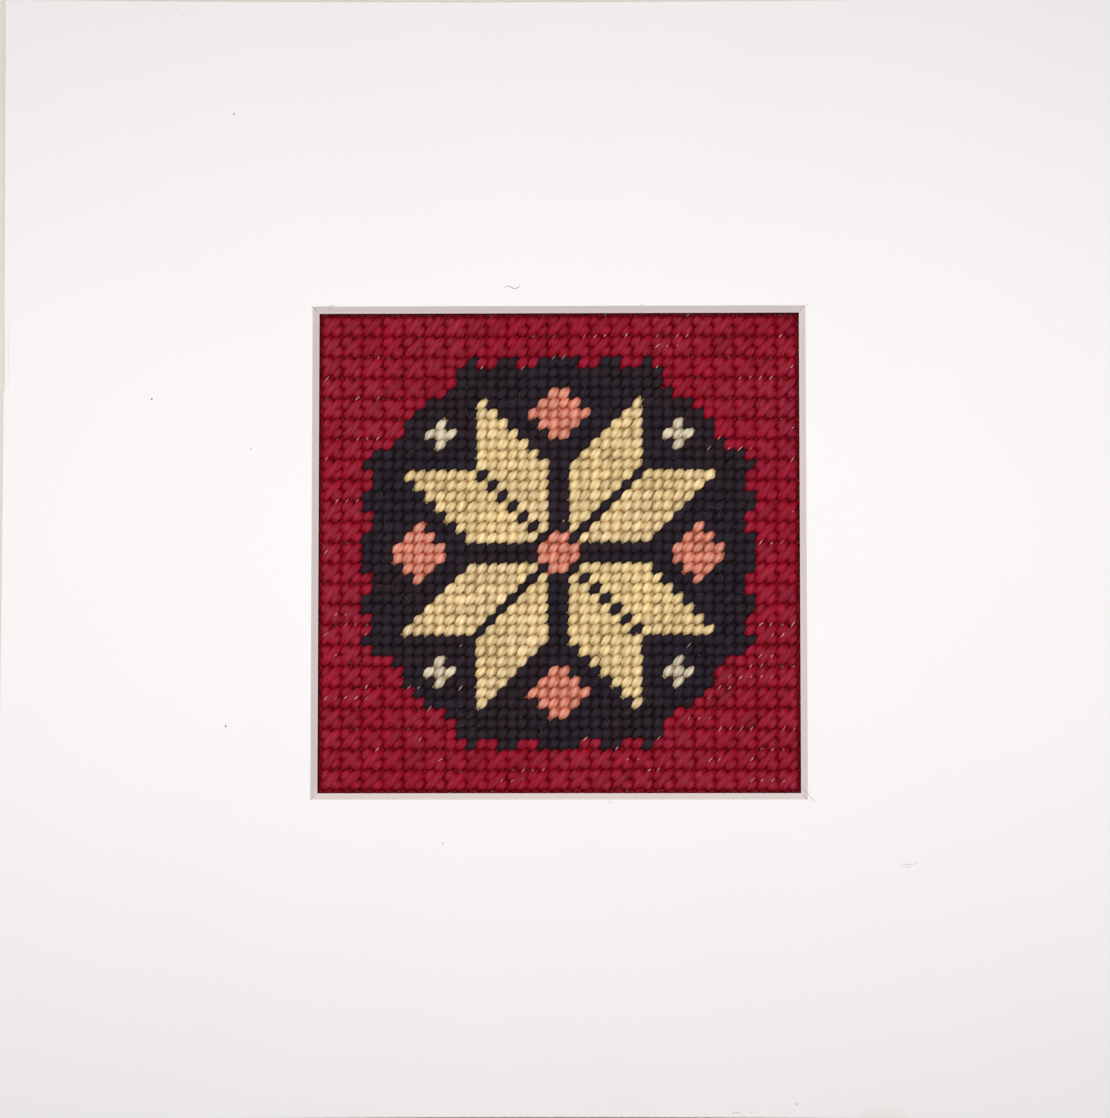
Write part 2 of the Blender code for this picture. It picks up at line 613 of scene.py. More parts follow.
def smooth_line(points, rings):
    """Return evenly spread points on a smooth curve through a few points."""
    points = np.asarray(points, float)
    ends = np.vstack([2 * points[0] - points[1], points, 2 * points[-1] - points[-2]])
    line = []
    for place in np.linspace(0.0, len(points) - 1.0, rings):
        first = min(int(place), len(points) - 2)
        t = place - first
        a, b, c, d = ends[first:first + 4]
        line.append(b + t / 2 * (c - a + t * (2 * a - 5 * b + 4 * c - d + t * (3 * (b - c) + d - a))))
    return np.array(line)


def sight_half(mat):
    """Return the half side of the window where its bevel meets the back of the board."""
    return mat.window / 2 - mat.bevel_run / 2


def brink_half(mat):
    """Return the half side of the window where its bevel meets the face of the board."""
    return mat.window / 2 + mat.bevel_run / 2


# ---------------------------------------------------------------------------
# Canvas and chart
# ---------------------------------------------------------------------------


def hole(canvas, column, row):
    """Return where a hole of the canvas lies, a little off the even grid."""
    middle = canvas.stitches / 2
    x = (column - middle) * canvas.pitch
    y = (row - middle) * canvas.pitch
    drift = 0.07 * MM
    x += drift * (math.sin(0.21 * row + 0.6) + math.sin(0.37 * column + 2.1))
    y += drift * (math.sin(0.19 * column + 1.7) + math.sin(0.41 * row + 0.3))
    return x, y


def chart_wool(column, row, count):
    """Return the wool of a cell: a traditional eight-pointed star in a stepped octagon."""
    across = abs(column - (count - 1) / 2)
    up = abs(row - (count - 1) / 2)
    far = int(max(across, up))
    near = int(min(across, up))
    if far + near <= 1:
        return SALMON
    if abs(far - 13) + near <= 2:  # a diamond between two petals' tips
        return SALMON
    if 1 <= near <= 7 and 1 <= far - near <= 7:  # eight leaning petals, parted by the dark
        return CREAM
    if abs(far - 11) + abs(near - 11) <= 1:  # a small cross in each corner of the octagon
        return GREY_CREAM
    flank = 18 if near // 2 % 2 == 0 else 17
    corner = 26 if near % 4 < 2 else 25
    if far <= flank and far + near <= corner:
        return DARK
    return RED


def chart(canvas):
    """Return the wool of every cell, as a list of columns."""
    count = canvas.stitches
    return [[chart_wool(column, row, count) for row in range(count)] for column in range(count)]


def is_mosaic_block(cells, column, row):
    """Tell whether the two by two cells from here are all ground."""
    return all(cells[column + i][row + j] == RED for i in (0, 1) for j in (0, 1))


# A stitch goes up and to the right from one hole to another. span is its run in cells.
Stitch = namedtuple("Stitch", "wool column row span")


def chart_stitches(canvas):
    """Return every stitch of the field, in the order in which a block or cell is worked."""
    cells = chart(canvas)
    stitches = []
    for row in range(0, canvas.stitches, 2):
        for column in range(0, canvas.stitches, 2):
            if is_mosaic_block(cells, column, row):
                stitches.append(Stitch(RED, column + 1, row, 1))
                stitches.append(Stitch(RED, column, row, 2))
                stitches.append(Stitch(RED, column, row + 1, 1))
                continue
            for i, j in ((1, 0), (0, 0), (1, 1), (0, 1)):
                stitches.append(Stitch(cells[column + i][row + j], column + i, row + j, 1))
    return stitches


def yarn_lobes(plies, depth):
    """Return the share of the radius of each point round a yarn, with a groove between its plies."""
    sides = 12
    return np.array([1.0 - depth if point % (sides // plies) == 0 else 1.0 for point in range(sides)])


def field_side(canvas):
    """Return the side of the bake map of what is worked on the canvas, a little over the field's own."""
    return canvas.stitches * canvas.pitch * 1.02


def headings(start, end):
    """Return how far it is from each start to its end, the direction and the one to its left."""
    run = end - start
    reach = np.linalg.norm(run, axis=1)
    ahead = run / reach[:, None]
    return reach, ahead, level_left(ahead)


def arched(sweep, arch):
    """Return how far ahead and how far up a strand is, from foot to foot. A low arch is flat on top."""
    forward = 0.5 - 0.5 * np.sign(np.cos(sweep)) * np.abs(np.cos(sweep)) ** arch
    return forward, np.abs(np.sin(sweep)) ** arch


def strand_middles(start, ahead, left, along, bow, height):
    """Return the middle of each ring, so far along its strand, bowed to the left and at its height."""
    middles = np.empty((*along.shape, 3))
    middles[..., :2] = start[:, None, :] + ahead[:, None, :] * along[..., None]
    middles += left[:, None, :] * bow[..., None]
    middles[..., 2] = height
    return middles


def twisted(rng, along):
    """Return the turn of each ring: a start at random, then the twist of the yarn."""
    return rng.uniform(0.0, 2 * math.pi, len(along))[:, None] + YARN_TWIST * along


def uneven_tones(rng, count):
    """Return a step of tone for each strand."""
    return rng.normal(0.0, 1.0, count).clip(-2.0, 2.0)


def stitch_ends(stitches, canvas, rng):
    """Return where each stitch comes up and where it goes down."""
    start = np.array([hole(canvas, s.column, s.row) for s in stitches])
    end = np.array([hole(canvas, s.column + s.span, s.row + s.span) for s in stitches])
    # Two stitches share each hole, side by side, so each leans a little steeper than the grid.
    lean = np.array([0.06 * MM, 0.0])
    uneven = 0.08 * MM
    start += lean + rng.normal(0.0, uneven, start.shape)
    end += -lean + rng.normal(0.0, uneven, end.shape)
    # Each second row of the ground was pulled tight, which leaves a furrow along it.
    furrow = 0.12 * MM
    lower = np.array([s.row for s in stitches])
    upper = np.array([s.row + s.span for s in stitches])
    is_ground = np.array([s.wool == RED for s in stitches])
    start[:, 1] += furrow * (is_ground & (lower % 2 == 0))
    end[:, 1] -= furrow * (is_ground & (upper % 2 == 0))
    return start, end


def stitch_mesh(name, stitches, canvas, wool, seed, fullness):
    """Return the front of many stitches as one mesh of twisted, plump strands.

    fullness widens the yarn, so that neighbours press together and less of a groove shows.
    """
    rng = np.random.default_rng(seed)
    count = len(stitches)
    start, end = stitch_ends(stitches, canvas, rng)
    reach, ahead, left = headings(start, end)
    is_tent = np.array([s.span == 1 for s in stitches])
    rings = 9 if is_tent.all() else 12
    sweep = np.linspace(0.0, math.pi, rings)
    # A tent's arch falls off smoothly to both feet, and a long stitch is flatter on top.
    forward, lift = arched(sweep, np.where(is_tent, 1.12, 0.88)[:, None])
    inset = 0.22 * MM  # a foot leans on the near side of its hole
    along = inset + forward * (reach[:, None] - 2 * inset)
    bow = rng.normal(0.03 * MM, 0.03 * MM, count)[:, None] * np.sin(2 * forward * math.pi)
    rise = np.where(is_tent, wool.tent_rise, wool.long_rise) * rng.normal(1.0, 0.06, count)
    middles = strand_middles(start, ahead, left, along, bow, CANVAS_Z + rise[:, None] * lift)
    # The yarn is drawn in at both feet and swells between them.
    swell = np.sin(sweep) ** 0.6
    foot_across = wool.foot_width / 2 * fullness
    foot_ahead = 0.20 * MM
    half_width = wool.tent_width / 2 * fullness * rng.normal(1.0, 0.08, count)
    half_height = wool.yarn_height / 2 * rng.normal(1.0, 0.05, count)
    widths = foot_across + (half_width[:, None] - foot_across) * swell
    heights = foot_ahead + (half_height[:, None] - foot_ahead) * swell
    angles = twisted(rng, along)
    lobes = yarn_lobes(wool.plies, 0.25)
    tones = uneven_tones(rng, count)
    return tube_mesh(name, middles, left, widths, heights, angles, lobes, field_side(canvas), tones)


def paint_shade(mesh, share):
    """Paint shade on points that lie in a narrower and deeper crease than the strands can show, by lowering
    their stored tone.
    """
    layer = mesh.attributes["tone"].data
    tones = np.empty(len(layer), np.float32)
    layer.foreach_get("value", tones)
    layer.foreach_set("value", (tones - PAINTED_SHADE_STEPS * share).astype(np.float32))


def press_under_mat(mesh, mat):
    """Squash what stands over the canvas where the edge of the mat's window bears on it, and paint the
    mat's shadow into the crease along that edge.
    """
    points = points_of(mesh)
    inside = sight_half(mat) - np.max(np.abs(points[:, :2]), axis=1)
    pressed_from = 0.60 * MM  # inside the window's edge, growing over so much on the way out to it
    pressed_over = 0.35 * MM
    most_pressed = 0.88
    pressed = most_pressed * np.clip((pressed_from - inside) / pressed_over, 0.0, 1.0)
    height = points[:, 2] - CANVAS_Z
    points[:, 2] = CANVAS_Z + height * np.where(height > 0.0, 1.0 - pressed, 1.0)
    mesh.vertices.foreach_set("co", points.ravel())
    # Painted shadow: the crease along the window's edge is darkened for the shade under the mat, deeper
    # than the squashed wool can catch.
    shadow_from = 0.36 * MM
    shadow_over = 0.20 * MM
    paint_shade(mesh, np.clip((shadow_from - inside) / shadow_over, 0.0, 1.0))


def work_stitches(scene, name, stitches, wool, seed, fullness):
    """Work stitches of one wool and add them as a piece."""
    mesh = stitch_mesh(name, stitches, scene.needlepoint_canvas, scene.needlepoint_wool, seed, fullness)
    press_under_mat(mesh, scene.needlepoint_mat)
    add_wool(name, mesh, wool)


# ---------------------------------------------------------------------------
# Operators
# ---------------------------------------------------------------------------


class NEEDLEPOINT_OT_weave_canvas(bpy.types.Operator):
    """Weave the mono canvas, thread by thread"""

    bl_idname = "needlepoint.weave_canvas"
    bl_label = "Weave Canvas"

    def execute(self, context):
        canvas = context.scene.needlepoint_canvas
        mesh = self.woven_threads(canvas)
        material = cotton_material("Sized cotton", canvas.thread_colour)
        add_piece("canvas_weave", mesh, [material], "needlepoint_canvas")
        return {"FINISHED"}

    def thread_middles(self, canvas, rng):
        """Return a middle for each ring of each thread, at every crossing and at both cut ends."""
        threads = int(CANVAS_SIDE / canvas.pitch / 2) * 2
        first = (canvas.stitches - threads) // 2
        numbers = np.arange(first, first + threads)
        crossings = (numbers + 0.5 - canvas.stitches / 2) * canvas.pitch
        sway = 0.24 * MM  # over and under the middle plane
        frayed = 0.25 * MM
        lines = []
        for is_upright in (True, False):
            for thread, fixed in zip(numbers, crossings):
                cut = CANVAS_SIDE / 2 - abs(rng.normal(0.0, frayed, 2))
                along = np.concatenate([[-cut[0]], crossings, [cut[1]]])
                is_over = (np.arange(threads) + thread + is_upright) % 2 == 1
                over = np.concatenate([[0.0], np.where(is_over, 1.0, -1.0), [0.0]])
                line = np.empty((len(along), 3))
                line[:, 0] = fixed if is_upright else along
                line[:, 1] = along if is_upright else fixed
                line[:, 2] = CANVAS_Z + sway * over
                lines.append(line)
        return np.array(lines)

    def woven_threads(self, canvas):
        """Return all the threads as one mesh, squeezed flat and with shade painted on them where they are
        worked over.
        """
        rng = np.random.default_rng(11)
        middles = self.thread_middles(canvas, rng)
        shape = middles.shape[:2]
        # The upright threads come first, and each has its left at minus X.
        is_upright = np.arange(shape[0]) < shape[0] // 2
        left = np.where(is_upright[:, None], (-1.0, 0.0, 0.0), (0.0, 1.0, 0.0))
        drift = 0.06 * MM
        x = middles[..., 0].copy()
        y = middles[..., 1].copy()
        middles[..., 0] += drift * (np.sin(y / (9 * MM)) + np.sin(x / (13 * MM) + 1.0))
        middles[..., 1] += drift * (np.sin(x / (8 * MM) + 2.0) + np.sin(y / (15 * MM)))
        limit = CANVAS_SIDE / 2 + 0.3 * MM
        middles[..., :2] = middles[..., :2].clip(-limit, limit)
        worked_half = canvas.stitches * canvas.pitch / 2 - 0.3 * MM
        is_worked = (np.abs(middles[..., :2]) < worked_half).all(axis=2)
        squeeze = np.where(is_worked, 0.3, 1.0)
        middles[..., 2] = CANVAS_Z + (middles[..., 2] - CANVAS_Z) * squeeze
        half_widths = canvas.thread_width / 2 * rng.normal(1.0, 0.06, shape[0])
        widths = np.broadcast_to(half_widths[:, None], shape)
        heights = 0.22 * MM * squeeze
        lobes = np.ones(5)
        mesh = tube_mesh(
            "canvas_weave", middles, left, widths, heights, np.zeros(shape), lobes, CANVAS_SIDE
        )
        # Painted shade: where the wool covers them, the threads are darkened as if in its shade.
        paint_shade(mesh, np.repeat(is_worked.ravel(), len(lobes)))
        return mesh


class NEEDLEPOINT_OT_work_ground(bpy.types.Operator):
    """Work the red ground in mosaic stitch, with single tents along its edges"""

    bl_idname = "needlepoint.work_ground"
    bl_label = "Work Ground"

    def execute(self, context):
        canvas = context.scene.needlepoint_canvas
        red = context.scene.needlepoint_wool.red
        dull_red = (red[0] * 0.95, red[1] * 2.1, red[2] * 1.3)
        wool_material("Red wool", red, dull_red, shine=0.12, fibre=0.7, deep=1.42, gain=0.92, haze=0.03)
        ground = [s for s in chart_stitches(canvas) if s.wool == RED]
        middle = canvas.stitches / 2
        halves = (
            ("ground_stitches_left", [s for s in ground if s.column < middle], 21),
            ("ground_stitches_right", [s for s in ground if s.column >= middle], 22),
        )
        for name, stitches, seed in halves:
            work_stitches(context.scene, name, stitches, RED, seed, fullness=1.15)
        return {"FINISHED"}


class NEEDLEPOINT_OT_work_medallion(bpy.types.Operator):
    """Work the dark medallion, the cream star and the salmon diamonds in tent stitch"""

    bl_idname = "needlepoint.work_medallion"
    bl_label = "Work Medallion"

    def execute(self, context):
        self.dye_wools(context.scene.needlepoint_wool)
        stitches = chart_stitches(context.scene.needlepoint_canvas)
        groups = (
            ("dark_stitches", DARK, 31, 1.14),
            ("star_stitches", CREAM, 32, 1.06),
            ("cross_stitches", GREY_CREAM, 33, 1.06),
            ("salmon_stitches", SALMON, 34, 1.06),
        )
        for name, wool, seed, fullness in groups:
            chosen = [s for s in stitches if s.wool == wool]
            work_stitches(context.scene, name, chosen, wool, seed, fullness)
        return {"FINISHED"}

    def dye_wools(self, wool):
        """Make the four wools of the medallion, all but the grey cream with a second dye lot."""
        dark = wool.dark
        cream = wool.cream
        grey = wool.grey_cream
        salmon = wool.salmon
        blue_black = (dark[0] * 0.75, dark[1], dark[2] * 1.15)
        warm_cream = (cream[0] * 0.97, cream[1] * 0.98, cream[2] * 0.84)
        dull_salmon = tuple(channel * 0.95 for channel in salmon)
        # Colour, second colour, shine, fibre, deep, gain and haze
        wools = (
            ("Dark wool", dark, blue_black, 0.12, 0.8, 1.0, 0.85, 0.04),
            ("Cream wool", cream, warm_cream, 0.45, 0.5, 1.5, 0.68, 0.0),
            ("Grey cream wool", grey, grey, 0.4, 0.5, 1.5, 0.68, 0.0),
            ("Salmon wool", salmon, dull_salmon, 0.45, 0.5, 1.7, 0.80, 0.0),
        )
        for values in wools:
            wool_material(*values)


class NEEDLEPOINT_OT_show_canvas(bpy.types.Operator):
    """Let the pale canvas thread glint between the stitches, in short runs along a row"""

    bl_idname = "needlepoint.show_canvas"
    bl_label = "Show Canvas Glints"

    def execute(self, context):
        canvas = context.scene.needlepoint_canvas
        places = self.glint_places(canvas)
        mesh = self.sliver_mesh(canvas, places)
        press_under_mat(mesh, context.scene.needlepoint_mat)
        # The cotton is painted pink for the red light that the wool around it throws on it.
        material = cotton_material("Dye-stained cotton", (0.72, 0.36, 0.33))
        add_piece("canvas_glints", mesh, [material], "needlepoint_canvas")
        return {"FINISHED"}

    def glint_places(self, canvas):
        """Return where a thread shows: half-way between two holes, in runs of a few."""
        rng = random.Random(51)
        cells = chart(canvas)
        chance_to_go_on = 0.48
        chance_off_the_ground = 0.12
        places = []
        for row in range(3, canvas.stitches - 2):
            chance_to_start = 0.095 if row % 2 == 0 else 0.05
            is_showing = False
            for column in range(1, canvas.stitches - 1):
                is_showing = rng.random() < (chance_to_go_on if is_showing else chance_to_start)
                is_ground = RED in (cells[column][row], cells[column][row - 1])
                if is_showing and (is_ground or rng.random() < chance_off_the_ground):
                    places.append((column, row))
        return places

    def sliver_mesh(self, canvas, places):
        """Return the glints, each a short sliver that leans as the stitches do."""
        rng = np.random.default_rng(52)
        count = len(places)
        middle = np.array([np.add(hole(canvas, c, r), hole(canvas, c + 1, r)) / 2 for c, r in places])
        middle += rng.normal(0.0, 0.07 * MM, middle.shape)
        lean = np.radians(rng.normal(48.0, 6.0, count))
        ahead = np.stack([np.cos(lean), np.sin(lean)], 1)
        left = level_left(ahead)
        reach = rng.uniform(0.6, 1.6, count) * MM
        share = np.linspace(-0.5, 0.5, 5)
        along = reach[:, None] * share
        plain = np.zeros(along.shape)  # neither bowed nor twisted
        ends = CANVAS_Z + rng.uniform(0.80, 0.95, count) * MM
        height = ends[:, None] + 0.25 * MM * (1.0 - (2 * share) ** 2)
        middles = strand_middles(middle, ahead, left, along, plain, height)
        widths = rng.uniform(0.045, 0.10, count)[:, None] * MM * (1.05 - (2 * share) ** 2)
        heights = np.full(widths.shape, 0.10 * MM)
        lobes = np.ones(6)
        side = field_side(canvas)
        return tube_mesh("canvas_glints", middles, left, widths, heights, plain, lobes, side)


class NEEDLEPOINT_OT_raise_fuzz(bpy.types.Operator):
    """Raise the short fuzz of the wools and scatter a few long pale hairs"""

    bl_idname = "needlepoint.raise_fuzz"
    bl_label = "Raise Fuzz"

    def execute(self, context):
        canvas = context.scene.needlepoint_canvas
        groups = (
            ("ground_fuzz", RED, 1300, 61),
            ("medallion_fuzz", DARK, 900, 62),
            ("star_fuzz", CREAM, 420, 63),
            ("diamond_fuzz", SALMON, 90, 64),
        )
        cells = chart(canvas)
        for name, wool, count, seed in groups:
            add_wool(name, self.fuzz_mesh(name, canvas, cells, wool, count, seed), wool)
        hair = cotton_material("Pale hair", (0.28, 0.25, 0.23))
        mesh = self.hair_mesh(canvas, cells)
        add_piece("stray_hairs", mesh, [hair], "needlepoint_canvas")
        return {"FINISHED"}

    def roots(self, canvas, cells, wool, count, rng):
        """Return points that lie over cells of one wool, away from its edges."""
        inner = range(2, canvas.stitches - 2)
        beside = ((0, 0), (1, 0), (-1, 0), (0, 1), (0, -1))
        chosen = [
            (c, r) for c in inner for r in inner if all(cells[c + i][r + j] == wool for i, j in beside)
        ]
        roots = []
        for _ in range(count):
            column, row = chosen[rng.integers(len(chosen))]
            roots.append(hole(canvas, column + rng.random(), row + rng.random()))
        return np.array(roots)

    def wander(self, roots, angle, step):
        """Return level paths from their roots, with a step at each angle."""
        lines = np.empty((*angle.shape, 3))
        lines[..., 0] = roots[:, :1] + np.cumsum(np.cos(angle) * step, axis=1)
        lines[..., 1] = roots[:, 1:] + np.cumsum(np.sin(angle) * step, axis=1)
        return lines

    def fuzz_mesh(self, name, canvas, cells, wool, count, seed):
        """Return short fibres that have worked loose and lie just over the stitches."""
        rng = np.random.default_rng(seed)
        roots = self.roots(canvas, cells, wool, count, rng)
        rings = 5
        share = np.linspace(0.0, 1.0, rings)
        heading = np.radians(rng.normal(52.0, 38.0, count))
        curl = rng.normal(0.0, 1.1, count)
        reach = rng.uniform(0.5, 1.3, count) * MM
        lift = rng.uniform(0.05, 0.30, count) * MM
        angle = heading[:, None] + curl[:, None] * share
        lines = self.wander(roots, angle, reach[:, None] / (rings - 1))
        over_wool = 0.98 * MM
        lines[..., 2] = CANVAS_Z + over_wool + lift[:, None] * np.sin(share * math.pi * 0.8)
        radius = rng.uniform(0.008, 0.016, count) * MM
        return fibre_mesh(name, lines, radius, field_side(canvas))

    def hair_mesh(self, canvas, cells):
        """Return long pale hairs, most of them over the dark wool where they show."""
        rng = np.random.default_rng(65)
        over_dark = self.roots(canvas, cells, DARK, 90, rng)
        over_ground = self.roots(canvas, cells, RED, 16, rng)
        roots = np.vstack([over_dark, over_ground])
        count = len(roots)
        rings = 15
        share = np.linspace(0.0, 1.0, rings)
        angle = rng.uniform(0.0, 2 * math.pi, count)[:, None] + rng.normal(0.0, 1.6, count)[:, None] * share
        step = rng.uniform(0.8, 3.2, count)[:, None] * MM / (rings - 1)
        lines = self.wander(roots, angle, step)
        over_fuzz = 1.15 * MM
        rise = rng.uniform(0.1, 0.5, count)[:, None] * MM
        lines[..., 2] = CANVAS_Z + over_fuzz + rise * np.sin(share * math.pi)
        radius = rng.uniform(0.007, 0.013, count) * MM
        return fibre_mesh("stray_hairs", lines, radius, field_side(canvas))


class NEEDLEPOINT_OT_turn_over(bpy.types.Operator):
    """Work the back of the stitches, the slanting floats from each stitch to the next"""

    bl_idname = "needlepoint.turn_over"
    bl_label = "Work Back Floats"

    def execute(self, context):
        canvas = context.scene.needlepoint_canvas
        stitches = chart_stitches(canvas)
        groups = (
            ("ground_floats", (RED,), 41),
            ("medallion_floats", (DARK,), 42),
            ("star_floats", (CREAM, GREY_CREAM), 43),
            ("diamond_floats", (SALMON,), 44),
        )
        for name, wools, seed in groups:
            chosen = [s for s in stitches if s.wool in wools]
            add_wool(name, self.float_mesh(name, chosen, canvas, seed), wools[0])
        return {"FINISHED"}

    def float_end(self, stitch, cells):
        """Return the foot of the left neighbour, or the stitch's own where that is another wool."""
        column = stitch.column + stitch.span - 2
        row = stitch.row + stitch.span - 1
        if column >= 0 and cells[column][row] == stitch.wool:
            return column, row
        return stitch.column, stitch.row

    def float_mesh(self, name, stitches, canvas, seed):
        """Return the floats, each from the top of a stitch to the foot of the one worked next."""
        rng = np.random.default_rng(seed)
        cells = chart(canvas)
        count = len(stitches)
        start = np.array([hole(canvas, s.column + s.span, s.row + s.span) for s in stitches])
        end = np.array([hole(canvas, *self.float_end(s, cells)) for s in stitches])
        reach, ahead, left = headings(start, end)
        sweep = np.linspace(0.0, math.pi, 6)
        forward, lift = arched(sweep, 0.8)
        past = 0.15 * MM  # how far a float reaches past both its holes
        along = forward * (reach[:, None] + 2 * past) - past
        drop = 0.74 * MM * rng.uniform(0.9, 1.0, count)
        bow = rng.normal(0.0, 0.08 * MM, count)[:, None] * np.sin(sweep)
        middles = strand_middles(start, ahead, left, along, bow, CANVAS_Z - drop[:, None] * lift)
        swell = np.sin(sweep) ** 0.5
        foot = 0.86 * MM
        half_width = 0.98 * MM * rng.normal(1.0, 0.06, count)
        widths = foot + (half_width[:, None] - foot) * swell
        heights = np.broadcast_to(0.24 * MM + 0.13 * MM * swell, widths.shape)
        angles = twisted(rng, along)
        lobes = np.ones(7)
        tones = uneven_tones(rng, count)
        return tube_mesh(name, middles, left, widths, heights, angles, lobes, field_side(canvas), tones)


class NEEDLEPOINT_OT_stretch_cloth(bpy.types.Operator):
    """Take no step: the canvas and all its wool already lie flat behind the mat"""

    bl_idname = "needlepoint.stretch_cloth"
    bl_label = "Stretch Cloth"

    def execute(self, context):
        return {"FINISHED"}


class NEEDLEPOINT_OT_cut_mat(bpy.types.Operator):
    """Cut the window mat, with its paper faces and its pale core"""

    bl_idname = "needlepoint.cut_mat"
    bl_label = "Cut Mat"

    def execute(self, context):
        mat = context.scene.needlepoint_mat
        mesh = self.board_mesh(mat)
        thumbed = (0.80, 0.772, 0.752)
        cut = (0.70, 0.66, 0.62)
        face = board_material("Mat face paper", mat.face, thumbed, tooth=5200.0, soil=0.05, bump=0.12)
        core = board_material("Mat core", mat.core, cut, tooth=7000.0, soil=0.25, bump=0.5)
        add_piece("mat_board", mesh, [face, core], "window_mat")
        mesh.shade_flat()
        return {"FINISHED"}

    def section(self, mat):
        """Return the points of the board's section, and the material of the strip after each.

        A point is its half side, its height and 0 for paper or 1 for core. They go from the
        back of the rim up it, in over the face, down the bevel and out along the back.
        """
        low = MAT_LOW.z
        high = MAT_HIGH.z
        rim = MAT_SIDE / 2
        sight = sight_half(mat)
        brink = brink_half(mat)
        # How much is worn off each corner, and how high the strips beside the rim's corners are
        rim_worn = 0.05 * MM
        brink_worn = 0.03 * MM
        sight_worn = 0.04 * MM
        strip = 0.15 * MM
        points = [(rim - rim_worn, low, 1), (rim, low + strip, 1), (rim, high - strip, 1)]
        points += [(rim, high - rim_worn, 0), (rim - rim_worn, high, 0)]
        face_steps = (0.4, 0.8, 0.9, 1.2, 1.6, 3.0, 7.0, 14.0, 24.0, 36.0, 46.0, 52.0, 54.5, 56.0)
        points += [(rim - step * MM, high, 0) for step in face_steps]
        points += [(brink + brink_worn, high, 0), (brink, high - brink_worn, 1)]
        bevel_rows = 4
        for row in range(1, bevel_rows):
            share = row / bevel_rows
            points.append((brink + (sight - brink) * share, high + (low - high) * share, 1))
        points += [(sight, low + sight_worn, 1), (sight + sight_worn, low, 0)]
        back_steps = (3.0, 12.0, 30.0, 50.0)
        points += [(sight + step * MM, low, 0) for step in back_steps]
        return points

    def board_mesh(self, mat):
        """Sweep the section round the square, and wave and dent the board a little."""
        section = self.section(mat)
        rows = len(section)
        per_side = 160
        columns = per_side * 4
        points = []
        for quarter in range(4):
            turn = np.array(Matrix.Rotation(quarter * math.pi / 2, 2))
            for share in np.linspace(-1.0, 1.0, per_side, endpoint=False):
                for half_side, z, _ in section:
                    x, y = turn @ (share * half_side, -half_side)
                    points.append((x, y, z))
        points = self.handled(np.array(points))
        faces = []
        materials = []
        for column in range(columns):
            here = column * rows
            after = (column + 1) % columns * rows
            for row in range(rows):
                above = (row + 1) % rows
                faces.append((here + row, after + row, after + above, here + above))
                materials.append(section[row][2])
        mesh = bpy.data.meshes.new("mat_board")
        mesh.from_pydata(points.tolist(), [], faces)
        mesh.polygons.foreach_set("material_index", materials)
        store_at_points(mesh, "wear", "FLOAT", self.wear(points, mat))
        return mesh

    def handled(self, points):
        """Return the points with the board's slight wave, its hollow edges and its bruised left edge."""
        moved = points.copy()
        x = points[:, 0]
        y = points[:, 1]
        wave = 0.03 * MM
        moved[:, 2] += wave * (np.sin(x / (31 * MM) + 0.5) * np.sin(y / (27 * MM) + 1.1) + 1.0)
        # The knife bowed a little along each edge, so the corners stand out past its middle.
        bow_across = 0.072 * (x - 7.5 * MM) ** 2
        bow_up = 0.042 * y ** 2
        near_out = 0.46 * MM
        far_in = 0.21 * MM
        sides_in = 0.03 * MM
        edge_from = 101.0 * MM
        moved[:, 1] -= (bow_across + near_out) * (y < -edge_from)
        moved[:, 1] += (bow_across - far_in) * (y > edge_from)
        moved[:, 0] += (bow_up - sides_in) * np.sign(x) * (np.abs(x) > edge_from)
        # A knock pushed the left edge in and down.
        pushed_in = 0.10 * MM
        pushed_down = 0.16 * MM
        on_rim = x < -101.4 * MM
        at_face = points[:, 2] > MAT_HIGH.z - 0.2 * MM
        moved[:, 0] += pushed_in * self.bruise(points) * on_rim
        moved[:, 2] -= pushed_down * self.bruise(points) * at_face
        return moved

    def bruise(self, points):
        """Return how crushed each point is by the knock on the left edge, from 0 to 1."""
        x = points[:, 0]
        y = points[:, 1]
        bottom = 29.5 * MM
        top = 50.0 * MM
        lower = np.clip((y - bottom) / (1.3 * MM), 0.0, 1.0)
        upper = np.clip((top - y) / (14 * MM), 0.0, 1.0)
        return lower * upper * (x < -100.75 * MM)

    def wear(self, points, mat):
        """Return how worn each point of the board is, from 0 to 1."""
        # A thumb left a smudge at the near edge, wider than it is high.
        smudge_middle = np.array((58.2, -102.1)) * MM
        smudge_size = np.array((5.2, 2.2)) * MM
        from_smudge = np.hypot(*((points[:, :2] - smudge_middle) / smudge_size).T)
        smudged = 0.56 * np.clip(2.5 - 2.5 * from_smudge, 0.0, 1.0)
        # The bevel is greyer, most of all towards its brink.
        half_side = np.max(np.abs(points[:, :2]), axis=1)
        up_bevel = 1.0 - (brink_half(mat) - half_side) / mat.bevel_run
        on_bevel = (up_bevel >= 0.0) & (up_bevel <= 1.0)
        cut = np.where(on_bevel, 0.38 * np.clip(up_bevel, 0.0, 1.0) ** 1.5, 0.0)
        bruised = 0.42 * self.bruise(points)
        return np.maximum.reduce([smudged, cut, bruised])


# Specks on the mat's face: across, up and half width, in millimetres
SPECKS = (
    (-59.7, 80.8, 0.16),
    (-74.4, 28.1, 0.17),
    (-56.2, 18.9, 0.12),
    (-60.5, -31.7, 0.20),
    (-21.0, -52.9, 0.13),
    (42.8, -99.7, 0.13),
    (71.0, 52.0, 0.07),
    (12.0, 79.0, 0.06),
    (-33.0, -84.0, 0.07),
    (-94.6, 90.9, 0.06),
    (-70.3, 100.2, 0.08),
    (68.0, -89.3, 0.06),
    (98.3, -80.5, 0.05),
)

